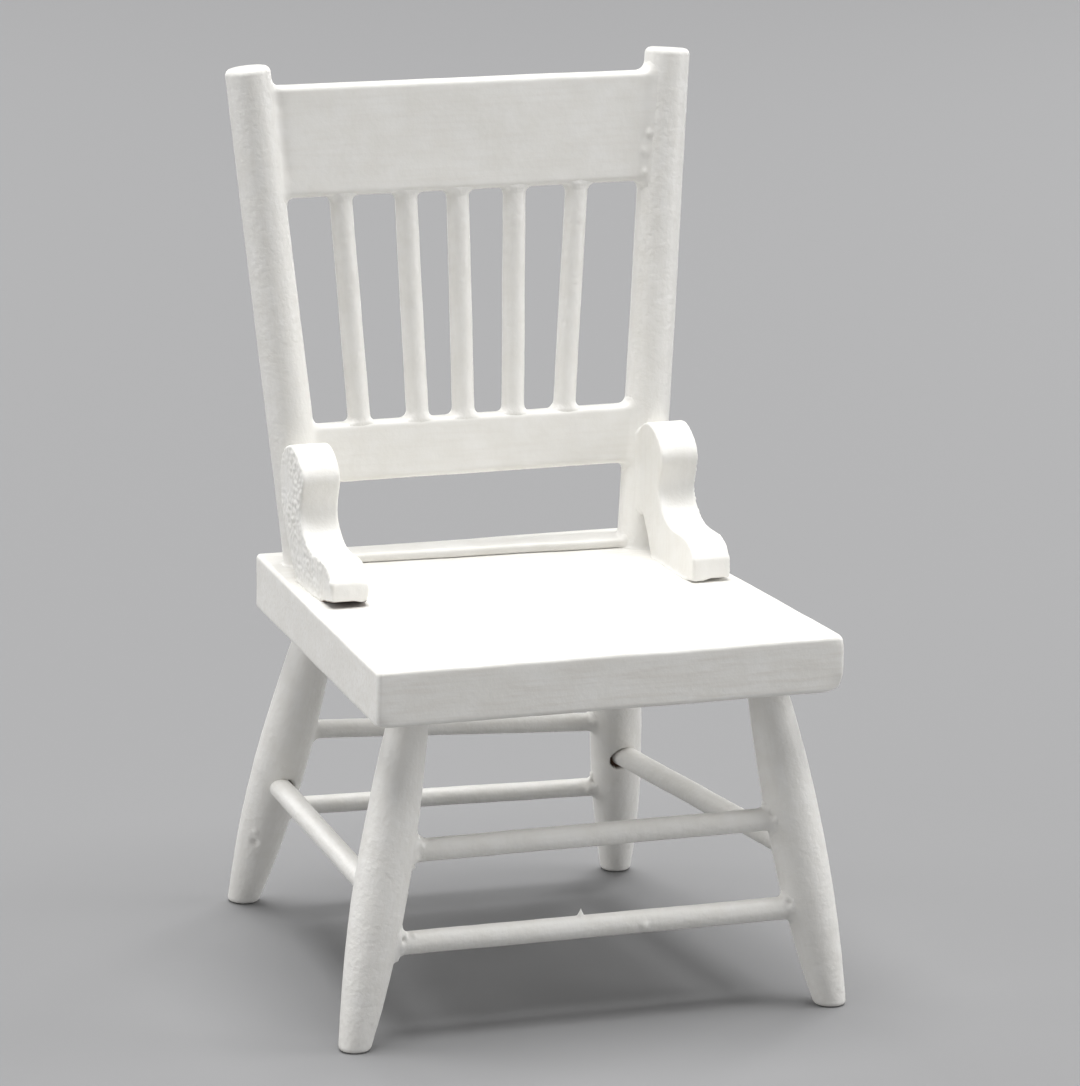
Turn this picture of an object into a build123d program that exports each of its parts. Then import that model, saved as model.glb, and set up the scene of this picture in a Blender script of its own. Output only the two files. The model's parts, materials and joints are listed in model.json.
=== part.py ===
from build123d import *

import os

# A dolls-house side chair in 1:12 scale, in millimetres. The origin is on the floor under the middle of the
# chair's footprint and the sitter faces -Y. Left and right are as seen from the front: right is +X.

# Seat: one thick board, a trapezium in plan that is wider in front.
SEAT_FRONT_X = (-21.25, 21.85)
SEAT_REAR_X = (-18.8, 19.1)
SEAT_DEPTH = 42.6
SEAT_THICKNESS = 5.1
SEAT_TOP = 34.6
SEAT_UNDERSIDE = SEAT_TOP - SEAT_THICKNESS
SEAT_CORNER_RADIUS = 0.35
SEAT_EDGE_RADIUS = 0.25
SEAT_CENTRE_Y = -3.35  # the rear feet stand far behind the seat, so the seat is forward of the origin

# Legs: turned, thickest at mid-length. (x, y) of each axis at the seat's underside and on the floor.
LEG_TOP = {
    "front_left": (-16.5, -16.1),
    "front_right": (16.5, -16.1),
    "rear_left": (-14.3, 16.0),
    "rear_right": (14.3, 16.0),
}
LEG_FOOT = {
    "front_left": (-22.1, -18.5),
    "front_right": (22.4, -18.45),
    "rear_left": (-18.3, 26.5),
    "rear_right": (18.5, 26.1),
}
LEG_TOP_RADIUS = 1.7
LEG_BELLY_RADIUS = 2.4
LEG_FOOT_RADIUS = 1.36
LEG_SOLE_ROUNDING = 0.4
LEG_OVERRUN = 1.0  # the turning runs on past both ends before it is cut level
LEG_TENON_RADIUS = 1.3
LEG_TENON_LENGTH = 2.0

# Back posts: round, leaning back and outwards. The left one stands a little further back on the seat.
POST_BASE = {"left": (-15.5, 16.3), "right": (16.0, 14.65)}
POST_HEAD = {"left": (-20.05, 20.5), "right": (20.05, 20.5)}
POST_HEAD_HEIGHT = 79.6
POST_BASE_RADIUS = 2.1
POST_HEAD_RADIUS = 2.05
POST_RIM_ROUNDING = 0.35
POST_TENON_RADIUS = 1.5
POST_TENON_LENGTH = 2.3

# Back rails: (lower, upper) edge heights where each rail meets the post axes.
CREST_EDGES = {"left": (67.8, 77.85), "right": (67.7, 77.65)}
LOWER_EDGES = {"left": (41.9, 47.2), "right": (42.25, 47.55)}
RAIL_THICKNESS = 2.3
RAIL_ROUNDING = 0.5
RAIL_HOUSING = 1.1  # how far a rail's end goes into a post

# Seat-back strip: a flat lath that lies on the seat between the posts.
STRIP_HEIGHT = 0.9
STRIP_DEPTH = 3.1
STRIP_SETBACK = 0.4  # how far its middle lies behind the line of the posts
STRIP_ROUNDING = 0.2

# Spindles: x at the lower rail and at the crest, unevenly set by hand.
SPINDLE_LOW_X = (-10.3, -4.8, -0.45, 4.25, 9.15)
SPINDLE_HIGH_X = (-11.6, -5.45, -0.5, 4.9, 10.9)
SPINDLE_RADIUS = 1.02
SPINDLE_TENON_RADIUS = 0.65
SPINDLE_TENON_LENGTH = 1.8
SPINDLE_SCRIBE = 0.6  # how far a spindle is run into a rail before it is scribed to its rounded edge

# Stretchers: the heights where each one meets the axes of its two legs, and its radius.
STRETCHERS = {
    "front_upper": ("front_left", 17.15, "front_right", 17.2, 1.02),
    "front_lower": ("front_left", 9.05, "front_right", 9.05, 1.02),
    "rear_upper": ("rear_left", 18.0, "rear_right", 16.1, 0.85),
    "rear_lower": ("rear_left", 9.85, "rear_right", 9.15, 0.85),
    "side_left": ("front_left", 13.35, "rear_left", 12.55, 1.02),
    "side_right": ("front_right", 13.95, "rear_right", 12.85, 1.02),
}
STRETCHER_STOP = 0.5  # a stretcher ends this far short of the leg's axis

# Hip brackets: sawn from board. Side outline as (y behind the seat's centre, height over the seat).
BRACKET_X = {"left": -16.65, "right": 17.3}
BRACKET_THICKNESS = 3.6
BRACKET_SHIFT_Y = {"left": 0.45, "right": 0.0}
BRACKET_TOE = (-0.45, 0.6)
BRACKET_TOE_TOP = (-0.35, 2.1)
BRACKET_FRONT = [(1.3, 3.5), (6.2, 3.95), (8.8, 6.7), (8.1, 9.7), (10.0, 11.7)]
BRACKET_CROWN = (12.3, 12.0)
BRACKET_BACK = [(14.3, 10.6), (14.6, 7.2), (12.9, 3.6)]
BRACKET_HEEL = (10.0, 0.0)
BRACKET_BALL = (2.6, 0.0)
BRACKET_EDGE_ROUNDING = 0.2

REACH = 100.0  # larger than the whole chair


def at(x, y, z):
    """A point given from the middle of the seat's plan, with z from the floor."""
    return Vector(x, y + SEAT_CENTRE_Y, z)


def slab(low, high):
    """All space between two heights, for trimming."""
    return Pos(0, 0, low) * Box(REACH, REACH, high - low, align=(Align.CENTER, Align.CENTER, Align.MIN))


def on_axis(line, height):
    """The point of a straight axis at one height."""
    start, end = line
    return start + (end - start) * ((height - start.Z) / (end.Z - start.Z))


def rod(start, end, radius, extra_start=0.0, extra_end=0.0):
    """A plain round rod from start to end, run on at either end."""
    along = (end - start).normalized()
    begin = start - along * extra_start
    length = (end - start).length + extra_start + extra_end
    base = Plane(origin=begin, z_dir=along)
    return base.location * Cylinder(radius, length, align=(Align.CENTER, Align.CENTER, Align.MIN))


def leg_axis(name):
    """Axis of a leg, from the floor to the seat's underside."""
    return at(*LEG_FOOT[name], 0), at(*LEG_TOP[name], SEAT_UNDERSIDE)


def post_axis(side):
    """Axis of a back post, from the seat's top to the post's head."""
    return at(*POST_BASE[side], SEAT_TOP), at(*POST_HEAD[side], POST_HEAD_HEIGHT)


def turned_leg(name):
    """Vase-shaped leg with a flat sole and no tenon."""
    foot, top = leg_axis(name)
    length = (top - foot).length
    middle = length / 2
    grow = ((middle + LEG_OVERRUN) / middle) ** 2
    foot_radius = LEG_BELLY_RADIUS - (LEG_BELLY_RADIUS - LEG_FOOT_RADIUS) * grow
    top_radius = LEG_BELLY_RADIUS - (LEG_BELLY_RADIUS - LEG_TOP_RADIUS) * grow
    low, high = (0, -LEG_OVERRUN), (0, length + LEG_OVERRUN)
    outline = TangentArc((LEG_BELLY_RADIUS, middle), (foot_radius, low[1]), tangent=(0, -1))
    outline += TangentArc((LEG_BELLY_RADIUS, middle), (top_radius, high[1]), tangent=(0, 1))
    outline += Polyline((foot_radius, low[1]), low, high, (top_radius, high[1]))
    blank = revolve(Plane.XZ * make_face(outline), axis=Axis.Z)
    leg = Plane(origin=foot, z_dir=top - foot).location * blank
    leg = leg & slab(0, SEAT_UNDERSIDE)
    return fillet(leg.edges().group_by(Axis.Z)[0], LEG_SOLE_ROUNDING)


def leg_tenon(name):
    """Round tenon of a leg in its blind hole in the seat."""
    foot, top = leg_axis(name)
    hole = slab(SEAT_UNDERSIDE, SEAT_UNDERSIDE + LEG_TENON_LENGTH)
    return rod(foot, top, LEG_TENON_RADIUS, 0, SEAT_THICKNESS) & hole


def round_post(side):
    """Back post above the seat, with a flat head and a soft rim, and no tenon."""
    base, head = post_axis(side)
    length = (head - base).length
    over = POST_BASE_RADIUS
    outline = Polyline(
        (0, -over), (POST_BASE_RADIUS, -over), (POST_BASE_RADIUS, 0), (POST_HEAD_RADIUS, length), (0, length),
        close=True,
    )
    blank = revolve(Plane.XZ * make_face(outline), axis=Axis.Z)
    blank = fillet(blank.edges().group_by(Axis.Z)[-1], POST_RIM_ROUNDING)
    post = Plane(origin=base, z_dir=head - base).location * blank
    return post & slab(SEAT_TOP, REACH)


def post_tenon(side):
    """Round tenon of a post in its blind hole in the seat."""
    base, head = post_axis(side)
    hole = slab(SEAT_TOP - POST_TENON_LENGTH, SEAT_TOP)
    return rod(base, head, POST_TENON_RADIUS, SEAT_THICKNESS, 0) & hole


def seat_board():
    """The seat board before its holes are drilled."""
    half = SEAT_DEPTH / 2
    front = [(x, -half) for x in SEAT_FRONT_X]
    rear = [(x, half) for x in reversed(SEAT_REAR_X)]
    plan = make_face(Polyline(*front, *rear, close=True))
    board = extrude(Pos(at(0, 0, SEAT_UNDERSIDE)) * plan, SEAT_THICKNESS)
    board = fillet(board.edges().filter_by(Axis.Z), SEAT_CORNER_RADIUS)
    faces = board.faces().sort_by(Axis.Z)
    return fillet(faces[0].edges() + faces[-1].edges(), SEAT_EDGE_RADIUS)


def rail_ends(edges):
    """Corner points of a rail on the two post axes: left low, left high, right low, right high."""
    return [on_axis(post_axis(side), height) for side in ("left", "right") for height in edges[side]]


def flat_rail(edges, thickness, inset, rounding):
    """A board between the posts. Its ends stop `inset` short of the post axes."""
    left_low, left_high, right_low, right_high = rail_ends(edges)
    left, right = (left_low + left_high) * 0.5, (right_low + right_high) * 0.5
    across = (right - left).normalized()
    rise = (left_high - left_low).normalized() + (right_high - right_low).normalized()
    plane = Plane(origin=(left + right) * 0.5, x_dir=across, z_dir=across.cross(rise))
    corners = [plane.to_local_coords(p) for p in (left_low, right_low, right_high, left_high)]
    points = [(p.X + (inset if p.X < 0 else -inset), p.Y) for p in corners]
    board = extrude(plane * make_face(Polyline(*points, close=True)), thickness / 2, both=True)
    long_edges = [e for e in board.edges() if e.length > SEAT_DEPTH / 2]
    return fillet(long_edges, rounding) if rounding else board


def seat_strip():
    """The flat lath on the seat, scribed round the posts."""
    left, right = (post_axis(side)[0] for side in ("left", "right"))
    plane = Plane(origin=(left + right) * 0.5, x_dir=right - left, z_dir=(0, 0, 1))
    plan = Pos(0, STRIP_SETBACK) * Rectangle((right - left).length, STRIP_DEPTH)
    lath = extrude(plane * plan, STRIP_HEIGHT)
    long_edges = [e for e in lath.edges().group_by(Axis.Z)[-1] if e.length > STRIP_DEPTH * 2]
    lath = fillet(long_edges, STRIP_ROUNDING)
    return max((lath - round_post("left") - round_post("right")).solids(), key=lambda s: s.volume)


def spindle_axes():
    """(low point, high point) of each spindle, on the lower rail's upper edge and the crest's lower edge."""
    lower, crest = rail_ends(LOWER_EDGES), rail_ends(CREST_EDGES)
    axes = []
    for low_x, high_x in zip(SPINDLE_LOW_X, SPINDLE_HIGH_X):
        ends = []
        for x, left, right in ((low_x, lower[1], lower[3]), (high_x, crest[0], crest[2])):
            ends.append(left + (right - left) * ((x - left.X) / (right.X - left.X)))
        axes.append(tuple(ends))
    return axes


def stretcher(name):
    """Round stretcher whose ends sit in blind holes in two legs."""
    first, first_height, second, second_height, radius = STRETCHERS[name]
    start, end = on_axis(leg_axis(first), first_height), on_axis(leg_axis(second), second_height)
    return rod(start, end, radius, -STRETCHER_STOP, -STRETCHER_STOP)


def hip_bracket(side):
    """S-shaped sawn bracket that stands on the seat and is scribed to the front of its post."""
    front = Spline(BRACKET_TOE_TOP, *BRACKET_FRONT, BRACKET_CROWN)
    back = Spline(BRACKET_CROWN, *BRACKET_BACK, BRACKET_HEEL)
    under = Polyline(BRACKET_HEEL, BRACKET_BALL, BRACKET_TOE, BRACKET_TOE_TOP)
    place = at(BRACKET_X[side], BRACKET_SHIFT_Y[side], SEAT_TOP)
    side_plane = Plane(origin=place, x_dir=(0, 1, 0), z_dir=(1, 0, 0))
    board = extrude(side_plane * make_face(front + back + under), BRACKET_THICKNESS / 2, both=True)
    rims = [e for e in board.edges() if abs(e.center().X - BRACKET_X[side]) > BRACKET_THICKNESS / 3]
    board = fillet(rims, BRACKET_EDGE_ROUNDING)
    return max((board - round_post(side)).solids(), key=lambda s: s.volume)


def joined(pieces):
    """One shape out of a list of shapes that touch."""
    whole = pieces[0]
    for piece in pieces[1:]:
        whole = whole + piece
    return whole


def cut(body, tools):
    """A body with every tool's shape taken out of it."""
    for tool in tools:
        body = body - tool
    return body


def build():
    """Every piece of the chair, by node name."""
    stretchers = {name: stretcher(name) for name in STRETCHERS}
    crest = flat_rail(CREST_EDGES, RAIL_THICKNESS, POST_HEAD_RADIUS - RAIL_HOUSING, RAIL_ROUNDING)
    lower = flat_rail(LOWER_EDGES, RAIL_THICKNESS, POST_BASE_RADIUS - RAIL_HOUSING, RAIL_ROUNDING)
    leg_tenons = {name: leg_tenon(name) for name in LEG_TOP}
    post_tenons = {side: post_tenon(side) for side in POST_BASE}

    pieces = {"seat": cut(seat_board(), [*leg_tenons.values(), *post_tenons.values()])}
    for name in LEG_TOP:
        rods = [stretchers[key] for key, ends in STRETCHERS.items() if name in ends]
        pieces["leg_" + name] = joined([cut(turned_leg(name), rods), leg_tenons[name]])
    for side in POST_BASE:
        pieces["post_" + side] = joined([cut(round_post(side), [crest, lower]), post_tenons[side]])
        pieces["bracket_" + side] = hip_bracket(side)
    tenons = []
    for number, (low, high) in enumerate(spindle_axes(), start=1):
        body = cut(rod(low, high, SPINDLE_RADIUS, SPINDLE_SCRIBE, SPINDLE_SCRIBE), [crest, lower])
        tenons.append(rod(low, high, SPINDLE_TENON_RADIUS, SPINDLE_TENON_LENGTH, SPINDLE_TENON_LENGTH))
        pieces["spindle_" + str(number)] = joined([body, tenons[-1]])
    pieces["crest_rail"] = cut(crest, tenons)
    pieces["lower_back_rail"] = cut(lower, tenons)
    pieces["seat_back_rail"] = seat_strip()
    for name, piece in stretchers.items():
        pieces["stretcher_" + name] = piece
    return pieces


os.makedirs("parts", exist_ok=True)
for node, piece in build().items():
    export_step(piece, "parts/" + node + ".step")
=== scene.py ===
import json
import math

import bpy
import numpy as np
from mathutils import Matrix, Vector, noise
from mathutils.bvhtree import BVHTree


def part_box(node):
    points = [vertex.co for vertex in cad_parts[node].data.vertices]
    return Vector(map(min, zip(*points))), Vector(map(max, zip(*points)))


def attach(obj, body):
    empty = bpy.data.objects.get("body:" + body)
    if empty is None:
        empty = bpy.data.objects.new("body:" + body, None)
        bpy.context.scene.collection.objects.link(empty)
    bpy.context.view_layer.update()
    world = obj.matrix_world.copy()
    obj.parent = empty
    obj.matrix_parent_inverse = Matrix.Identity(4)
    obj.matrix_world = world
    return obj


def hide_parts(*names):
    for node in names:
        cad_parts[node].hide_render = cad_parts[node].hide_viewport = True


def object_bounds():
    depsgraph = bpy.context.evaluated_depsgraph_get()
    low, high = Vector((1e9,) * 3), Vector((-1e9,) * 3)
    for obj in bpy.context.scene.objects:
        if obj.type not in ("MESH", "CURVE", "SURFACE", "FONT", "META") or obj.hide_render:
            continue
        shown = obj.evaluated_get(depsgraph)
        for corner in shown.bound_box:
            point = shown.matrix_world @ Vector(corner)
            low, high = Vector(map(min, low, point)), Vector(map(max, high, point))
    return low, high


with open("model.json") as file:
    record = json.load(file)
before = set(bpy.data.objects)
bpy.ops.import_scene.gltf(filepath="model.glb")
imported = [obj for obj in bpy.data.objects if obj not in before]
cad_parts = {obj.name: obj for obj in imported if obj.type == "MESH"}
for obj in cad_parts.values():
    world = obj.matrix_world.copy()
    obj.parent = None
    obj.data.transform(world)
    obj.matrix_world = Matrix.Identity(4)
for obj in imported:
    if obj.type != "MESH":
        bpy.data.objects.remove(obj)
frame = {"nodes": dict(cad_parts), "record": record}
CAD_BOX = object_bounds()
noise.seed_set(5)  # without a seed, noise_vector differs from run to run

MM = 0.001

# Where two pieces meet: how far the paint's fillet reaches in mm, and how unevenly, by the start of the two
# names. The first line that fits both names applies.
PAINT_REACH = {
    ("spindle_", "crest_rail"): (0.75, 0.25),
    ("spindle_", "lower_back_rail"): (0.75, 0.3),
    ("stretcher_front", "leg_front_left"): (1.0, 0.7),
    ("stretcher_", "leg_"): (0.6, 0.6),
    ("leg_", "seat"): (0.3, 0.4),
    ("post_", "seat"): (0.35, 0.4),
    ("crest_rail", "post_left"): (0.8, 0.25),
    ("crest_rail", "post_"): (0.95, 0.12),
    ("lower_back_rail", "post_"): (0.8, 0.2),
    ("seat_back_rail", "post_"): (0.5, 0.3),
    ("bracket_", "seat"): (0.45, 0.4),
    ("bracket_", "post_"): (0.75, 0.08),
}
LUMP_SIZE = 0.8  # mm, size of the fillets' unevenness
FLUSH_REACH = 0.3  # share of a fillet's reach that is left where the two surfaces lie nearly flush
TUCK = 0.05  # mm that a skin lies under its neighbour's where it has run onto it
FILLET_STEPS = 8  # coarse steps in the search for the skin, each then halved
HALVINGS = 7
BRACKET_EVENING = 5  # rounds of averaging of the fillets on the brackets' irregular meshes

# Side stretchers whose sockets were drilled oversize: the leg, the hole's radius and its offset in mm.
OPEN_SOCKETS = {
    "stretcher_side_right": ("leg_rear_right", 1.13, (-0.33, 0.0, -0.16)),
    "stretcher_side_left": ("leg_rear_left", 1.03, (0.3, 0.0, -0.08)),
}
SOCKET_DEPTH = 0.9  # mm
SOCKET_RIM = 0.14  # mm over which a hole's wall falls away

# Accidents of the finish by node: the place as shares of the node's box, height and radius in mm.
FLAWS = {
    "stretcher_front_lower": [
        ((0.47, 0.5, 1.0), 0.68, 0.18),
        ((0.61, 0.0, 0.45), 0.2, 0.3),
        ((0.052, 0.1, 0.8), -0.42, 0.22),
        ((0.034, 0.35, 1.0), 0.32, 0.28),
        ((0.08, 0.15, 0.95), 0.2, 0.2),
        ((0.035, 0.3, 0.0), 0.34, 0.3),
        ((0.968, 0.2, 0.95), 0.34, 0.28),
        ((0.953, 0.1, 0.85), -0.3, 0.2),
    ],
    "stretcher_front_upper": [
        ((0.042, 0.25, 1.0), 0.34, 0.24),
        ((0.035, 0.35, 0.0), 0.36, 0.26),
        ((0.965, 0.2, 0.95), 0.34, 0.26),
        ((0.95, 0.1, 0.85), -0.34, 0.22),
        ((0.964, 0.05, 0.6), 0.2, 0.22),
        ((0.968, 0.1, 0.25), -0.3, 0.22),
    ],
    "stretcher_rear_upper": [
        ((0.928, 0.1, 0.9), 0.32, 0.28),
        ((0.94, 0.0, 0.62), -0.42, 0.24),
        ((0.925, 0.0, 0.3), 0.2, 0.28),
    ],
    "stretcher_rear_lower": [
        ((0.922, 0.1, 1.0), 0.32, 0.28),
        ((0.935, 0.0, 0.72), -0.42, 0.24),
        ((0.918, 0.0, 0.3), 0.2, 0.28),
    ],
    "crest_rail": [
        ((0.962, 0.0, 0.45), 0.22, 0.24),
        ((0.952, 0.0, 0.1), 0.2, 0.22),
        ((0.95, 0.0, 0.28), 0.1, 0.4),
        ((0.31, 0.0, 0.02), 0.16, 0.18),
        *[((0.054 - 0.014 * z, 0.0, z), -0.1, 0.7) for z in (0.9, 0.78, 0.66, 0.54, 0.42, 0.3)],
        ((0.043, 0.0, 0.84), -0.07, 0.4),
    ],
    "bracket_left": [
        ((0.0, 0.0, 0.2), 0.14, 0.35),
        ((0.45, 0.0, 0.12), 0.08, 0.45),
        ((1.0, 0.0, 0.02), -0.28, 0.6),
        ((1.0, 0.02, 0.2), -0.18, 0.6),
    ],
    "leg_rear_left": [((0.15, 0.59, 0.216), -0.34, 0.34), ((0.15, 0.57, 0.25), 0.1, 0.3)],
    "seat": [
        ((1.0, 0.0, 0.0), -0.42, 0.9),
        ((1.0, 0.0, 1.0), -0.12, 0.5),
        ((0.0, 0.0, 0.0), -0.2, 0.6),
        ((0.56, 0.86, 1.0), 0.1, 0.22),
        ((0.9, 0.27, 1.0), 0.12, 0.24),
        ((0.1, 0.72, 1.0), 0.12, 0.24),
        ((0.2, 0.52, 1.0), -0.1, 0.2),
    ],
}

# Unevenness of hand work as (amplitude, size) in mm. One field for the whole chair keeps its joints closed.
WOBBLES = ((0.045, 7.0), (0.018, 1.6))
BOX_MARGIN = 0.12  # mm from the chair's box over which the unevenness dies out

# Edges and ends, in mm.
SEAT_EDGE = 0.45
BOARD_EDGE = 0.55
SOLE_ROUNDING = 0.45
POST_RIM = 0.6
ROOT = 1.1  # a spindle's mesh runs on this far inside its rails
INSIDE = 0.35  # a leg's and a post's mesh runs on this far inside the seat
HOUSED = 1.0  # a bracket's mesh runs on this far inside its post

# Brackets, in mm.
VOXEL = 0.11
SMOOTHINGS = 6
STIPPLE = (0.15, 0.38)  # amplitude and size of the rough sawn sides
STIPPLE_CLEAR = 0.9  # distance from the post over which they turn smooth
TOE_HEIGHT = 1.8  # the part of a toe that settles onto the seat
BARE_SHADED_TOE = (3.2, 1.2)  # length and height of the part under the toe that the brush missed, coloured very dark as painted shade in the gap

ROUND_ENOUGH = 0.03  # a section is a plain circle if its radii differ by less than this share
THICK_ENOUGH = 0.55  # and belongs to the turned body if it is thicker than this share of the middle one


# ---------------------------------------------------------------- measuring the frame


def tree_of(node):
    mesh = frame["nodes"][node].data
    return BVHTree.FromPolygons([v.co for v in mesh.vertices], [p.vertices for p in mesh.polygons])


TREES = {name: tree_of(name) for name in frame["nodes"]}


def node_points(node):
    return np.array([v.co for v in frame["nodes"][node].data.vertices], float)


def principal(points):
    """Directions of a cloud of points, longest first, as rows."""
    centred = points - points.mean(0)
    values, vectors = np.linalg.eigh(centred.T @ centred)
    return vectors.T[::-1]


def across(direction):
    """Two unit vectors at right angles to a direction."""
    u = direction.orthogonal().normalized()
    return u, direction.cross(u).normalized()


def round_sections(node, origin, direction, stations, rays=24):
    """(station, centre, radius) of each cross-section that is a plain circle."""
    u, v = across(direction)
    spokes = [u * math.cos(a) + v * math.sin(a) for a in np.arange(rays) * math.tau / rays]
    found = []
    for s in stations:
        centre = origin + direction * s
        for _ in range(3):
            hits = [TREES[node].ray_cast(centre, spoke)[0] for spoke in spokes]
            if None in hits:
                break
            centre = sum(hits, Vector()) / rays
        else:
            radii = [(h - centre).length for h in hits]
            if max(radii) - min(radii) < ROUND_ENOUGH * max(radii):
                found.append((s, centre, sum(radii) / rays))
    return found


class Turning:
    """Axis and radii of a turned piece, measured on its CAD node."""

    def __init__(self, node):
        points = node_points(node)
        direction = Vector(principal(points)[0])
        if max(direction, key=abs) < 0:
            direction = -direction
        origin = Vector((points.min(0) + points.max(0)) / 2)
        for _ in range(2):
            spans = (points - np.array(origin)) @ np.array(direction)
            stations = np.linspace(spans.min(), spans.max(), 90)[1:-1]
            rounds = round_sections(node, origin, direction, stations)
            body = np.median([r for _, _, r in rounds])
            rounds = [x for x in rounds if x[2] > THICK_ENOUGH * body]
            centres = np.array([c for _, c, _ in rounds])
            line = Vector(principal(centres)[0])
            direction = line if line.dot(direction) > 0 else -line
            origin = Vector(centres.mean(0))
        spans = (points - np.array(origin)) @ np.array(direction)
        rounds = round_sections(node, origin, direction, np.linspace(spans.min(), spans.max(), 120)[1:-1])
        self.origin, self.direction = origin, direction
        self.low, self.high = spans.min(), spans.max()
        self.s = np.array([x[0] for x in rounds])
        self.r = np.array([x[2] for x in rounds])

    def at_height(self, z):
        return (z - self.origin.z) / self.direction.z

    def keep(self, low, high):
        inside = (self.s >= low) & (self.s <= high)
        self.s, self.r = self.s[inside], self.r[inside]

    def radius(self, s):
        """Measured radii, run on in a straight line past both ends."""
        radii = np.interp(s, self.s, self.r)
        for end, past in ((slice(0, 6), s < self.s[0]), (slice(-6, None), s > self.s[-1])):
            radii[past] = np.polyval(np.polyfit(self.s[end], self.r[end], 1), s[past])
        return radii

    def distance(self, points):
        """Distance to the turned surface with its sockets filled, negative inside it."""
        out = points - np.array(self.origin)
        along = out @ np.array(self.direction)
        side = np.linalg.norm(out - along[:, None] * np.array(self.direction), axis=1) - self.radius(along)
        end = np.maximum(self.low - along, along - self.high)
        return np.where(end > 0, np.hypot(np.maximum(side, 0), end), np.maximum(side, end))


class Board:
    """A board's own axes and edges, measured on its CAD node. u runs along it, v across it, w through it."""

    def __init__(self, node, u, w):
        u, w = np.array(u, float), np.array(w, float)
        self.axes = np.array([u, np.cross(w, u), w])
        points = node_points(node)
        middle = points.mean(0)
        local = (points - middle) @ self.axes.T
        self.half = (local.max(0) - local.min(0)) / 2
        self.centre = middle + self.axes.T @ ((local.max(0) + local.min(0)) / 2)
        self.edges = [self.edge_line(node, side) for side in (-1, 1)]

    def edge_line(self, node, side):
        """A straight line through the board's edge that passes over the sockets in it."""
        far = 2 * self.half[1] + 0.01
        stations, reached = [], []
        for s in np.linspace(-0.85, 0.85, 35) * self.half[0]:
            start = self.centre + self.axes[0] * s + self.axes[1] * side * far
            hit = TREES[node].ray_cast(Vector(start), Vector(-side * self.axes[1]))[0]
            if hit:
                stations.append(s)
                reached.append((np.array(hit) - self.centre) @ self.axes[1])
        stations, reached = np.array(stations), np.array(reached)
        for tolerance in (0.3, 0.1, 0.03):
            line = np.polyfit(stations, reached, 1)
            outside = side * (reached - np.polyval(line, stations)) > -tolerance * MM
            stations, reached = stations[outside], reached[outside]
        return np.polyfit(stations, reached, 1)

    def edge(self, side, s):
        return np.polyval(self.edges[side], s)

    def distance(self, points):
        """Distance to the board with its sockets filled and its edges rounded, negative inside it."""
        local = (points - self.centre) @ self.axes.T
        low, high = self.edge(0, local[:, 0]), self.edge(1, local[:, 0])
        local[:, 1] -= (low + high) / 2
        ones = np.ones(len(points))
        half = np.stack([self.half[0] * ones, (high - low) / 2, self.half[2] * ones], 1)
        q = np.abs(local) - half + BOARD_EDGE * MM
        outside = np.linalg.norm(np.maximum(q, 0), axis=1)
        return outside + np.minimum(q.max(axis=1), 0) - BOARD_EDGE * MM


def face_normal(node):
    """Normal of a node's widest flat side."""
    widest = max(frame["nodes"][node].data.polygons, key=lambda p: p.area)
    return np.array(widest.normal, float)


def upright_board(node):
    """A rail between the posts, with level u and w out of its back."""
    w = face_normal(node)
    w *= np.sign(w[1])
    u = np.cross(w, (0, 0, 1))
    u /= np.linalg.norm(u) * np.sign(u[0])
    return Board(node, u, w)


def boards():
    """The chair's boards, by node."""
    lath = principal(node_points("seat_back_rail"))[0]
    lath = np.array([lath[0], lath[1], 0.0]) * np.sign(lath[0])
    return {
        "seat": Board("seat", (0, 1, 0), (0, 0, 1)),
        "seat_back_rail": Board("seat_back_rail", lath / np.linalg.norm(lath), (0, 0, 1)),
        "crest_rail": upright_board("crest_rail"),
        "lower_back_rail": upright_board("lower_back_rail"),
    }


TURNED = [n for n in frame["nodes"] if n.startswith(("leg_", "post_", "spindle_", "stretcher_"))]
TURNINGS = {node: Turning(node) for node in TURNED}
BOARDS = boards()
SHAPES = {**TURNINGS, **BOARDS}


# ---------------------------------------------------------------- meshes


def make_object(name, points, faces, grain):
    """A smooth-shaded piece. `grain` holds each point in mm with the grain along the third axis."""
    mesh = bpy.data.meshes.new(name)
    mesh.from_pydata([tuple(p) for p in points], [], faces)
    mesh.polygons.foreach_set("use_smooth", [True] * len(mesh.polygons))
    attribute = mesh.attributes.new("grain", "FLOAT_VECTOR", "POINT")
    attribute.data.foreach_set("vector", np.asarray(grain, np.float32).ravel())
    mesh.attributes.new("bare_wood_and_shade", "FLOAT", "POINT")
    mesh.update()
    piece = bpy.data.objects.new(name, mesh)
    bpy.context.scene.collection.objects.link(piece)
    return piece


def dense_ends(low, high, step, fine, zone):
    """Stations from low to high, `fine` apart within `zone` of each end and `step` apart between."""
    left = np.arange(low, low + zone, fine)
    right = np.arange(high, high - zone, -fine)[::-1]
    count = max(2, int(round((high - low - 2 * zone) / step)))
    middle = np.linspace(left[-1] + fine, right[0] - fine, count)
    return np.concatenate([left, middle, right])


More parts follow.
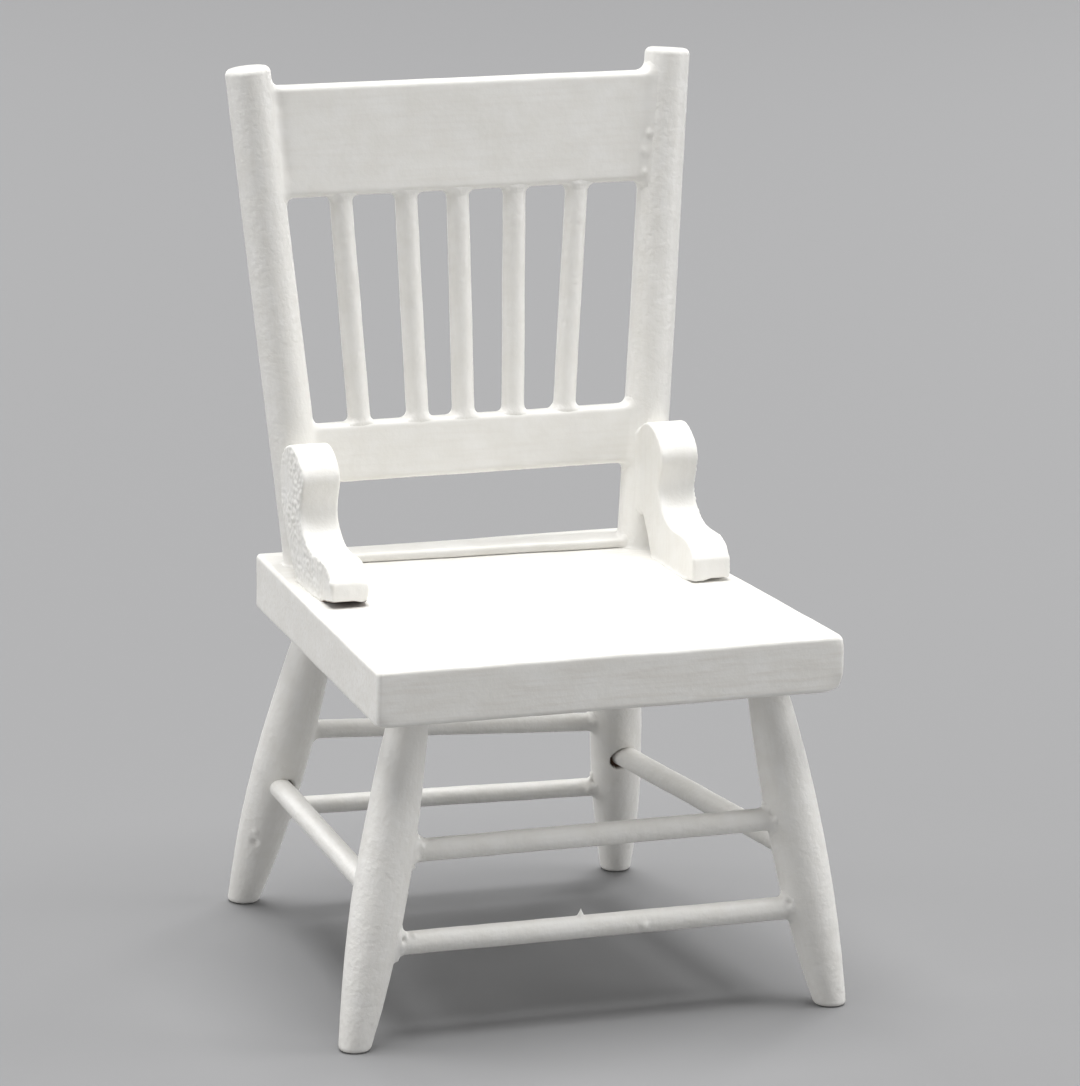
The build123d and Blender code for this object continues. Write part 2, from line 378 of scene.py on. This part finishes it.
def lathe(name, turning, stations, radii, around, level=None, cap_steps=4):
    """A closed turned mesh, with ends capped by rings that shrink to a point.

    `level` says for each station how far its ring lies level, from 0, square to the axis, to 1.
    """
    u, v = across(turning.direction)
    level = np.zeros(len(stations)) if level is None else level
    shrink = np.linspace(1, 0, cap_steps + 1)[1:-1]
    rows = [(stations[0], radii[0] * k, level[0]) for k in shrink[::-1]]
    rows += list(zip(stations, radii, level))
    rows += [(stations[-1], radii[-1] * k, level[-1]) for k in shrink]
    angles = np.arange(around) * math.tau / around
    points, grain = [], []
    for s, r, share in rows:
        for a in angles:
            x, y = r * math.cos(a), r * math.sin(a)
            lift = share * (u.z * x + v.z * y) / turning.direction.z
            points.append(turning.origin + turning.direction * (s - lift) + u * x + v * y)
            grain.append((x / MM, y / MM, s / MM))
    faces = []
    for i in range(len(rows) - 1):
        for j in range(around):
            k = (j + 1) % around
            faces.append((i * around + j, i * around + k, (i + 1) * around + k, (i + 1) * around + j))
    for row, s in ((0, stations[0]), (len(rows) - 1, stations[-1])):
        points.append(turning.origin + turning.direction * s)
        grain.append((0, 0, s / MM))
        ring = [(row * around + j, row * around + (j + 1) % around) for j in range(around)]
        pole = len(points) - 1
        faces += [(b, a, pole) if row == 0 else (a, b, pole) for a, b in ring]
    return make_object(name, points, faces, grain)


def positions(piece):
    co = np.zeros(len(piece.data.vertices) * 3)
    piece.data.vertices.foreach_get("co", co)
    return co.reshape(-1, 3)


def set_positions(piece, co):
    piece.data.vertices.foreach_set("co", np.asarray(co, float).ravel())
    piece.data.update()


def normals(piece):
    n = np.zeros(len(piece.data.vertices) * 3)
    piece.data.vertices.foreach_get("normal", n)
    return n.reshape(-1, 3)


# ---------------------------------------------------------------- paint


def reach_between(a, b):
    """Reach and unevenness of the fillet that the first piece's paint makes on the second."""
    if OPEN_SOCKETS.get(a, (None,))[0] == b:
        return None
    for (first, second), paint in PAINT_REACH.items():
        if a.startswith(first) and b.startswith(second):
            return paint
    return None


def touching(node):
    """The neighbours that a piece's paint runs onto, with reach in metres and unevenness."""
    low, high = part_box(node)
    found = []
    for other in frame["nodes"]:
        paint = reach_between(node, other)
        if paint is None:
            continue
        other_low, other_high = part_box(other)
        if all(low[i] <= other_high[i] and other_low[i] <= high[i] for i in range(3)):
            found.append((other, paint[0] * MM, paint[1]))
    return found


def blended(own, other, reach):
    """Smooth minimum of two distances."""
    h = np.maximum(reach - np.abs(own - other), 0.0) / reach
    return np.minimum(own, other) - h * h * reach / 4


def crease(co, nor, shape):
    """How squarely a piece's surface meets a neighbour's: 0 where they lie flush and 1 at a corner."""
    step = 0.02 * MM
    here = shape.distance(co)
    slope = np.stack([shape.distance(co + step * axis) - here for axis in np.eye(3)], 1) / step
    return 1 - np.clip((slope * nor).sum(axis=1), -1, 1) ** 2


def fillet_heights(co, nor, shape, reach):
    """How far the common skin stands off points on a piece's own surface beside or inside a neighbour."""

    def skin(heights):
        other = shape.distance(co + nor * heights[:, None])
        return blended(heights, other, reach), heights - other

    low, found = np.zeros(len(co)), np.zeros(len(co), bool)
    for step in range(FILLET_STEPS + 1):
        heights = reach * step / FILLET_STEPS
        found |= skin(heights)[0] >= 0
        low = np.where(found, low, heights)
    high = low + reach / FILLET_STEPS
    for _ in range(HALVINGS):
        middle = (low + high) / 2
        under = skin(middle)[0] < 0
        low, high = np.where(under, middle, low), np.where(under, high, middle)
    low = np.where(skin(np.zeros(len(co)))[0] >= 0, 0, low)
    beyond = np.clip(skin(low)[1] / reach, 0, 1)
    return np.where(found, low - TUCK * MM * beyond ** 2, reach)


def evened(piece, values, rounds):
    """Values at a piece's points, averaged with those of their neighbours a number of times."""
    edges = np.zeros(len(piece.data.edges) * 2, int)
    piece.data.edges.foreach_get("vertices", edges)
    a, b = edges.reshape(-1, 2).T
    count = len(values)
    degree = np.bincount(a, minlength=count) + np.bincount(b, minlength=count)
    for _ in range(rounds):
        total = np.bincount(a, values[b], count) + np.bincount(b, values[a], count)
        values = (values + total / degree) / 2
    return values


def paint_fillets(piece, node, fade=None, rounds=0):
    """Runs the paint of a piece onto its neighbours in uneven fillets.

    `fade` thins it, point by point, and `rounds` evens it out on a mesh without regular rows.
    """
    co, nor = positions(piece), normals(piece)
    fade = np.ones(len(co)) if fade is None else fade
    heights = np.zeros(len(co))
    for other, reach, lumpy in touching(node):
        shape = SHAPES[other]
        near = np.flatnonzero((shape.distance(co) < 1.2 * reach * (1 + lumpy)) & (fade > 0.02))
        uneven = np.array([noise.noise(Vector(co[i]) / (LUMP_SIZE * MM)) for i in near])
        square = np.clip(crease(co[near], nor[near], shape), FLUSH_REACH, 1)
        reaches = reach * (1 + lumpy * uneven) * fade[near] * square
        found = fillet_heights(co[near], nor[near], shape, reaches)
        heights[near] = np.where(np.abs(heights[near]) > 0, np.maximum(heights[near], found), found)
    heights = evened(piece, heights, rounds)
    set_positions(piece, co + nor * heights[:, None])


def set_bare_wood_and_shade(piece, bare_wood_and_shade):
    """Marks, from 0 to 1, where a piece's wood shows without paint; its very dark colour also stands as
    painted shade in the gaps there.
    """
    piece.data.attributes["bare_wood_and_shade"].data.foreach_set("value", np.asarray(bare_wood_and_shade, np.float32))


def smooth_step(x):
    x = np.clip(x, 0, 1)
    return x * x * (3 - 2 * x)


def flaws(piece, node):
    """Nibs, dimples and knocks in the finish."""
    if node not in FLAWS:
        return
    co, nor = positions(piece), normals(piece)
    low, high = (np.array(corner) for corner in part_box(node))
    tree = BVHTree.FromPolygons([Vector(p) for p in co], [p.vertices for p in piece.data.polygons])
    shift = np.zeros(len(co))
    for share, height, radius in FLAWS[node]:
        place = tree.find_nearest(Vector(low + np.array(share) * (high - low)))[0]
        distance = np.linalg.norm(co - np.array(place), axis=1) / (radius * MM)
        shift += height * MM * np.exp(-distance ** 2)
    set_positions(piece, co + nor * shift[:, None])


def open_socket(piece, node):
    """A hole drilled oversize in a leg, which leaves a dark crescent beside the stretcher; the hole's inside
    takes the very dark bare-wood colour as painted shade in that crescent.
    """
    for stretcher, (leg, radius, offset) in OPEN_SOCKETS.items():
        if leg != node:
            continue
        co, nor = positions(piece), normals(piece)
        rod = TURNINGS[stretcher]
        end = rod.origin + rod.direction * (rod.high if rod.direction.y > 0 else rod.low)
        way = np.array(rod.direction)
        out = co - np.array(end) - np.array(offset) * MM
        along = out @ way
        across_rod = np.linalg.norm(out - along[:, None] * way, axis=1)
        front = nor @ way * np.sign(way[1]) < 0.1
        inside = smooth_step((radius * MM - across_rod) / (SOCKET_RIM * MM)) * front
        set_positions(piece, co + way * np.sign(way[1]) * (inside * SOCKET_DEPTH * MM)[:, None])
        # The hole's inside gets the dark bare-wood colour, painted shade in the crescent.
        set_bare_wood_and_shade(piece, smooth_step((inside - 0.35) / 0.4))


def wobble(piece):
    """Moves every point by the common unevenness, and not out of the chair's box."""
    co = positions(piece)
    low, high = np.array(CAD_BOX[0]), np.array(CAD_BOX[1])
    shift = np.zeros_like(co)
    for amplitude, size in WOBBLES:
        field = np.array([noise.noise_vector(Vector(p) / (size * MM)) for p in co])
        shift += field * amplitude * MM
    room = np.clip(np.minimum(co - low, high - co) / (BOX_MARGIN * MM), 0, 1)
    set_positions(piece, np.clip(co + shift * room, low, high))


# ---------------------------------------------------------------- turned pieces


def turned_piece(node, stations, radii, around, level=None):
    return lathe(node + "_painted", TURNINGS[node], stations, radii, around, level)


def rounded_off(radii, depth, rounding):
    """Radii that draw in round an edge, from the depth of each station under it."""
    rest = np.clip(rounding - depth, 0, rounding)
    return radii - (rounding - np.sqrt(rounding ** 2 - rest ** 2))


def leg_piece(node):
    t = TURNINGS[node]
    foot, top = t.at_height(0.0), t.at_height(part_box("seat")[0].z)
    t.keep(foot + 1.2 * MM, top - 0.3 * MM)
    stations = dense_ends(foot, top + INSIDE * MM, 0.15 * MM, 0.08 * MM, 1.2 * MM)
    radii = rounded_off(t.radius(stations), stations - foot, SOLE_ROUNDING * MM)
    level = np.clip(1 - (stations - foot) / (4 * MM), 0, 1)
    return turned_piece(node, stations, radii, 96, level)


def post_piece(node):
    t = TURNINGS[node]
    base = t.at_height(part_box("seat")[1].z)
    t.keep(base + 0.8 * MM, t.high - 0.7 * MM)
    stations = dense_ends(base - INSIDE * MM, t.high, 0.3 * MM, 0.07 * MM, 0.9 * MM)
    radii = rounded_off(t.radius(stations), stations[-1] - stations, POST_RIM * MM)
    return turned_piece(node, stations, radii, 56)


def spindle_piece(node):
    t = TURNINGS[node]
    body = t.s[t.r > 0.9 * np.median(t.r)]
    low, high = body.min(), body.max()
    t.keep(low, high)
    stations = dense_ends(low - ROOT * MM, high + ROOT * MM, 0.3 * MM, 0.07 * MM, 2.2 * MM)
    return turned_piece(node, stations, t.radius(stations), 40)


def stretcher_piece(node):
    t = TURNINGS[node]
    stations = dense_ends(t.low, t.high, 0.14 * MM, 0.09 * MM, 3.6 * MM)
    return turned_piece(node, stations, t.radius(stations), 40)


# ---------------------------------------------------------------- boards


def even_and_rounded(half, rounding, step, steps=4):
    """Grid lines across a board's side, closer in its rounded edges."""
    edge = rounding * np.tan(np.linspace(0, math.pi / 4, steps + 1))[1:]
    count = max(2, int(round(2 * (half - rounding) / step)))
    middle = np.linspace(-(half - rounding), half - rounding, count + 1)
    return np.concatenate([-(half - rounding) - edge[::-1], middle, half - rounding + edge])


def box_shell(lines):
    """Points and faces of the outside of a grid, from three lists of grid lines."""
    sizes = [len(a) for a in lines]
    index, points, faces = {}, [], []

    def vertex(ijk):
        if ijk not in index:
            index[ijk] = len(points)
            points.append([lines[axis][ijk[axis]] for axis in range(3)])
        return index[ijk]

    for axis in range(3):
        b, c = (axis + 1) % 3, (axis + 2) % 3
        for side in (0, sizes[axis] - 1):
            for j in range(sizes[b] - 1):
                for k in range(sizes[c] - 1):
                    quad = []
                    for dj, dk in ((0, 0), (1, 0), (1, 1), (0, 1)):
                        ijk = [0, 0, 0]
                        ijk[axis], ijk[b], ijk[c] = side, j + dj, k + dk
                        quad.append(vertex(tuple(ijk)))
                    faces.append(tuple(quad if side else quad[::-1]))
    return np.array(points), faces


def board_piece(node, rounding, steps_mm, end_zone=None):
    """A board with soft edges. `steps_mm` are the grid's steps along it, across it and through it."""
    board = BOARDS[node]
    half = board.half.copy()
    half[1] = (board.edge(1, 0) - board.edge(0, 0)) / 2
    radius = np.array(rounding) * MM
    lines = [even_and_rounded(half[i], radius[i], steps_mm[i] * MM) for i in range(3)]
    if end_zone:
        lines[0] = dense_ends(-half[0], half[0], steps_mm[0] * MM, 0.08 * MM, end_zone * MM)
    points, faces = box_shell(lines)
    core = half - radius
    inner = np.clip(points, -core, core)
    out = (points - inner) / radius
    length = np.linalg.norm(out, axis=1, keepdims=True)
    points = inner + radius * out / np.maximum(length, 1e-9)
    low, high = board.edge(0, points[:, 0]), board.edge(1, points[:, 0])
    points[:, 1] = (low + high) / 2 + points[:, 1] * (high - low) / 2 / half[1]
    grain = points[:, [1, 2, 0]] / MM
    world = board.centre + points @ board.axes
    return make_object(node + "_painted", world, faces, grain)


def seat_piece():
    """The seat, with its grain from side to side."""
    piece = board_piece("seat", (SEAT_EDGE, SEAT_EDGE, SEAT_EDGE), (0.4, 0.4, 0.4))
    grain = (positions(piece) - BOARDS["seat"].centre)[:, [1, 2, 0]] / MM
    piece.data.attributes["grain"].data.foreach_set("vector", grain.astype(np.float32).ravel())
    return piece


# ---------------------------------------------------------------- brackets


def house_in_post(piece, post):
    """Runs a bracket's sides on from where they are scribed to the post, so that the paint ends on it."""
    turning = TURNINGS[post]
    co = positions(piece)
    out = co - np.array(turning.origin)
    along = out @ np.array(turning.direction)
    radial = out - along[:, None] * np.array(turning.direction)
    scribed = np.abs(np.linalg.norm(radial, axis=1) - turning.radius(along)) < 0.04 * MM
    ahead = smooth_step((-radial[:, 1] - 0.4 * MM) / (0.8 * MM))
    co[:, 1] += HOUSED * MM * ahead * scribed
    set_positions(piece, co)


def bracket_piece(node):
    """The sawn bracket, remeshed evenly and softened."""
    source = frame["nodes"][node]
    copy = bpy.data.objects.new("bracket_blank", source.data.copy())
    bpy.context.scene.collection.objects.link(copy)
    house_in_post(copy, node.replace("bracket", "post"))
    weld = copy.modifiers.new("weld", "WELD")
    weld.merge_threshold = 0.002 * MM
    remesh = copy.modifiers.new("remesh", "REMESH")
    remesh.mode = "VOXEL"
    remesh.voxel_size = VOXEL * MM
    smooth = copy.modifiers.new("smooth", "SMOOTH")
    smooth.iterations = SMOOTHINGS
    smooth.factor = 0.5
    shape = copy.evaluated_get(bpy.context.evaluated_depsgraph_get()).to_mesh()
    points = np.array([v.co for v in shape.vertices])
    faces = [tuple(p.vertices) for p in shape.polygons]
    bpy.data.objects.remove(copy)
    low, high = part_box(node)
    centre = np.array((low + high) / 2)
    piece = make_object(node + "_painted", points, faces, (points - centre) / MM)
    stipple(piece, node)
    settle_toe(piece, node)
    # Only the left toe gets the dark bare-wood colour, painted shade in its gap.
    if node == "bracket_left":
        bare_and_shaded_toe(piece)
    return piece


def stipple(piece, node):
    """Roughness of the sawn outer sides, where the paint dried in bubbles, smooth again beside the post."""
    co, nor = positions(piece), normals(piece)
    amplitude, size = STIPPLE
    side = smooth_step((np.abs(nor[:, 0]) - 0.6) / 0.3)
    side *= np.where(nor[:, 0] * co[:, 0] > 0, 1.0, 0.12)
    side *= smooth_step(TURNINGS[node.replace("bracket", "post")].distance(co) / (STIPPLE_CLEAR * MM))
    bubbles = np.array([noise.noise(Vector(p) / (size * MM)) for p in co])
    patches = np.array([0.6 + noise.noise(Vector(p) / (3 * MM)) for p in co])
    height = bubbles * np.clip(patches, 0.15, 1.2) * side * amplitude * MM
    set_positions(piece, co + nor * height[:, None])


def settle_toe(piece, node):
    """Fills part of the gap under the toe with paint: on the left bracket less, and at its inner end only."""
    co = positions(piece)
    over = co[:, 2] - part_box("seat")[1].z
    share = (co[:, 0] - co[:, 0].min()) / np.ptp(co[:, 0])
    if node == "bracket_left":
        gap = 1 - 0.7 * smooth_step((share - 0.55) / 0.4)
    else:
        gap = 0.04 + 0.42 * smooth_step((share - 0.22) / 0.3)
    kept = gap + (1 - gap) * smooth_step(over / (TOE_HEIGHT * MM))
    co[:, 2] = np.where(over > 0, co[:, 2] - over * (1 - kept), co[:, 2])
    set_positions(piece, co)


def bare_and_shaded_toe(piece):
    """The brush didn't reach under the toe, so its wood shows there, in a very dark colour that also paints
    the shade in the gap under the toe.
    """
    co, nor = positions(piece), normals(piece)
    length, height = BARE_SHADED_TOE
    toe = (co[:, 2] - co[:, 2].min() < height * MM) & (co[:, 1] - co[:, 1].min() < length * MM)
    set_bare_wood_and_shade(piece, smooth_step((-nor[:, 2] - 0.3) / 0.3) * toe)


# ---------------------------------------------------------------- materials


def stretched(tree, vector, scale):
    mapping = tree.nodes.new("ShaderNodeMapping")
    mapping.inputs["Scale"].default_value = scale
    tree.links.new(vector, mapping.inputs["Vector"])
    return mapping.outputs[0]


def noise_of(tree, vector, scale, detail):
    texture = tree.nodes.new("ShaderNodeTexNoise")
    texture.inputs["Scale"].default_value = scale
    texture.inputs["Detail"].default_value = detail
    tree.links.new(vector, texture.inputs["Vector"])
    return texture.outputs["Fac"]


def ranged(tree, value, low, high, to_low, to_high):
    node = tree.nodes.new("ShaderNodeMapRange")
    for i, number in enumerate((low, high, to_low, to_high), start=1):
        node.inputs[i].default_value = number
    tree.links.new(value, node.inputs[0])
    return node.outputs[0]


def mixed(tree, factor, a, b):
    """Two colours, each a plain one or a node's, mixed by a factor."""
    mix = tree.nodes.new("ShaderNodeMix")
    mix.data_type = "RGBA"
    tree.links.new(factor, mix.inputs["Factor"])
    for socket, value in (("A", a), ("B", b)):
        if isinstance(value, tuple):
            mix.inputs[socket].default_value = (*value, 1)
        else:
            tree.links.new(value, mix.inputs[socket])
    return mix.outputs["Result"]


def relief(tree, layers):
    """A normal from layers of (height, strength, depth in mm), one on top of the other."""
    normal = None
    for height, strength, depth in layers:
        bump = tree.nodes.new("ShaderNodeBump")
        bump.inputs["Strength"].default_value = strength
        bump.inputs["Distance"].default_value = depth * MM
        tree.links.new(height, bump.inputs["Height"])
        if normal:
            tree.links.new(normal, bump.inputs["Normal"])
        normal = bump.outputs[0]
    return normal


def attribute_of(tree, name):
    node = tree.nodes.new("ShaderNodeAttribute")
    node.attribute_name = name
    return node


def darkened(colour, shares):
    return tuple(c * share for c, share in zip(colour, shares))


def painted_wood(name, colour, roughness, streaks, peel_depth, dimples):
    """Satin white paint over wood: the grain shows faintly as streaks, the film has small dimples."""
    material = bpy.data.materials.new(name)
    material.use_nodes = True
    tree = material.node_tree
    tree.nodes.clear()
    out = tree.nodes.new("ShaderNodeOutputMaterial")
    shader = tree.nodes.new("ShaderNodeBsdfPrincipled")
    shader.inputs["Specular IOR Level"].default_value = 0.4
    tree.links.new(shader.outputs[0], out.inputs["Surface"])

    grain = attribute_of(tree, "grain").outputs["Vector"]
    lines = noise_of(tree, stretched(tree, grain, (2.4, 2.4, 0.2)), 1.0, 4.0)
    clouds = noise_of(tree, grain, 0.45, 4.0)
    peel = noise_of(tree, grain, 1.9, 3.0)
    specks = noise_of(tree, grain, 6.0, 2.0)

    dull = darkened(colour, (0.955, 0.95, 0.935))
    thin = darkened(colour, (0.915, 0.9, 0.88))
    paint = mixed(tree, ranged(tree, clouds, 0.35, 0.7, 0.0, 1.0), dull, colour)
    paint = mixed(tree, ranged(tree, lines, 0.46, 0.68, 0.0, 0.9 * streaks), paint, thin)
    # Bare wood in a very dark brown, far darker than the wood itself: it also paints the shade in the gaps
    # under the toe and in the sockets.
    shaded_bare_wood = mixed(tree, ranged(tree, lines, 0.3, 0.7, 0.0, 1.0), (0.055, 0.028, 0.014), (0.13, 0.07, 0.035))
    bare_wood_and_shade = attribute_of(tree, "bare_wood_and_shade").outputs["Fac"]
    tree.links.new(mixed(tree, bare_wood_and_shade, paint, shaded_bare_wood), shader.inputs["Base Color"])
    shine = ranged(tree, clouds, 0.3, 0.7, roughness - 0.05, roughness + 0.08)
    tree.links.new(shine, shader.inputs["Roughness"])
    layers = ((lines, 0.5 * streaks, 0.03), (peel, 0.8, peel_depth), (specks, 0.5 * dimples, 0.02))
    tree.links.new(relief(tree, layers), shader.inputs["Normal"])
    return material


WHITE = (0.84, 0.83, 0.8)
# A slightly darker copy of the white, used for the turned pieces.
TURNING_WHITE = (0.825, 0.815, 0.787)
MATERIALS = {
    "seat": painted_wood("painted_seat", WHITE, 0.4, 1.0, 0.03, 0.6),
    "painted_board": painted_wood("painted_board", WHITE, 0.4, 0.4, 0.022, 0.5),
    "painted_turning": painted_wood("painted_turning", TURNING_WHITE, 0.36, 0.35, 0.09, 0.9),
    "painted_sawn_edge": painted_wood("painted_sawn_edge", WHITE, 0.5, 0.3, 0.04, 1.4),
}


# ---------------------------------------------------------------- putting it together


SLOTS = {part["node"]: part["material_slot"] for part in frame["record"]["subparts"]}
MAKERS = {"leg_": leg_piece, "post_": post_piece, "spindle_": spindle_piece, "stretcher_": stretcher_piece}


def make_piece(node):
    for start, maker in MAKERS.items():
        if node.startswith(start):
            return maker(node)
    if node == "seat":
        return seat_piece()
    if node == "seat_back_rail":
        return board_piece(node, (0.2, 0.35, 0.35), (0.3, 0.35, 0.25), 1.5)
    if node.startswith("bracket_"):
        return bracket_piece(node)
    return board_piece(node, (0.3, BOARD_EDGE, BOARD_EDGE), (0.3, 0.25, 0.25), 2.6)


def end_fade(piece):
    """0 at both ends of a turned piece and 1 from about a millimetre inside them."""
    along = np.zeros(len(piece.data.vertices) * 3)
    piece.data.attributes["grain"].data.foreach_get("vector", along)
    along = along[2::3]
    return smooth_step(np.minimum(along - along.min(), along.max() - along) / 0.95)


def top_fade(piece):
    """1 on a bracket's sides and less on its top, where the paint climbs the post only a little."""
    return 1 - 0.6 * smooth_step((normals(piece)[:, 2] - 0.2) / 0.5)


for node in sorted(frame["nodes"]):
    piece = make_piece(node)
    if node.startswith("spindle_"):
        paint_fillets(piece, node, end_fade(piece))
    elif node.startswith("bracket_"):
        paint_fillets(piece, node, top_fade(piece), BRACKET_EVENING)
    else:
        paint_fillets(piece, node)
    open_socket(piece, node)
    flaws(piece, node)
    wobble(piece)
    piece.data.materials.append(MATERIALS.get(node, MATERIALS[SLOTS[node]]))
    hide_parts(node)
    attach(piece, "root")


# ---------------------------------------------------------------- floor, light and camera


def plain(name, colour, roughness):
    material = bpy.data.materials.new(name)
    material.use_nodes = True
    shader = material.node_tree.nodes["Principled BSDF"]
    shader.inputs["Base Color"].default_value = (*colour, 1)
    shader.inputs["Roughness"].default_value = roughness
    return material


def studio_floor():
    """Pale round floor that rises gently on every side, far behind the object."""
    flat, bend, around = 2.0, 3.0, 96
    outline = [(0.05, 0.0), (0.3, 0.0), (1.0, 0.0), (flat, 0.0)]
    rise = np.linspace(0, math.radians(75), 16)[1:]
    outline += [(flat + bend * math.sin(a), bend * (1 - math.cos(a))) for a in rise]
    angles = np.arange(around) * math.tau / around
    points = [(r * math.cos(a), r * math.sin(a), z) for r, z in outline for a in angles]
    faces = [tuple(range(around))]
    for i in range(len(outline) - 1):
        for j in range(around):
            k = (j + 1) % around
            faces.append((i * around + k, i * around + j, (i + 1) * around + j, (i + 1) * around + k))
    mesh = bpy.data.meshes.new("floor")
    mesh.from_pydata(points, [], faces)
    mesh.polygons.foreach_set("use_smooth", [True] * len(faces))
    floor = bpy.data.objects.new("floor", mesh)
    floor.data.materials.append(plain("floor_paper", (0.222, 0.222, 0.225), 0.9))
    bpy.context.scene.collection.objects.link(floor)


def soft_box(name, place, target, size, power):
    light = bpy.data.lights.new(name, "AREA")
    light.shape = "RECTANGLE"
    light.size, light.size_y = size
    light.energy = power
    lamp = bpy.data.objects.new(name, light)
    lamp.location = place
    lamp.rotation_euler = (Vector(target) - Vector(place)).to_track_quat("-Z", "Y").to_euler()
    bpy.context.scene.collection.objects.link(lamp)


def overhead_light(strength):
    """An even light from a very large soft box straight above."""
    light = bpy.data.lights.new("overhead", "SUN")
    light.energy = strength
    light.angle = math.radians(46)
    bpy.context.scene.collection.objects.link(bpy.data.objects.new("overhead", light))


def lights():
    """Strong light from above, boxes at both sides for the bright rims, and next to none from the front."""
    middle = Vector((0, 0, CAD_BOX[1][2] / 2))
    overhead_light(4.4)
    soft_box("left_box", (-0.56, 0.20, 0.15), middle, (0.3, 0.6), 1.45)
    soft_box("right_box", (0.56, -0.20, 0.15), middle, (0.3, 0.6), 2.3)
    soft_box("left_front_box", (-0.62, -0.28, 0.28), middle, (0.4, 0.4), 0.8)
    soft_box("left_rim_box", (-0.11, 0.60, 0.2), middle, (0.12, 0.5), 0.6)
    soft_box("right_rim_box", (0.46, 0.39, 0.2), middle, (0.12, 0.5), 0.8)
    world = bpy.data.worlds.new("studio")
    world.use_nodes = True
    world.node_tree.nodes["Background"].inputs[0].default_value = (0.95, 0.97, 1.0, 1)
    world.node_tree.nodes["Background"].inputs[1].default_value = 0.06
    bpy.context.scene.world = world


def camera():
    azimuth, elevation, roll = math.radians(-19.84), math.radians(14.08), math.radians(0.85)
    distance = 0.606
    centre = (Vector(CAD_BOX[0]) + Vector(CAD_BOX[1])) / 2
    target = centre + Vector((0.00087, -0.00324, -0.00066))
    level = Vector((math.sin(azimuth), -math.cos(azimuth), 0)) * math.cos(elevation)
    back = level + Vector((0, 0, math.sin(elevation)))
    right = (-back).cross(Vector((0, 0, 1))).normalized()
    up = right.cross(-back)
    rolled_right = right * math.cos(roll) + up * math.sin(roll)
    rolled_up = up * math.cos(roll) - right * math.sin(roll)
    data = bpy.data.cameras.new("camera")
    data.lens = 225.8
    data.sensor_width = 36
    data.clip_start, data.clip_end = 0.01, 20
    eye = bpy.data.objects.new("camera", data)
    matrix = Matrix((rolled_right, rolled_up, back)).transposed().to_4x4()
    matrix.translation = target + back * distance
    eye.matrix_world = matrix
    bpy.context.scene.collection.objects.link(eye)
    bpy.context.scene.camera = eye


studio_floor()
lights()
camera()
bpy.context.scene.view_settings.view_transform = "Standard"
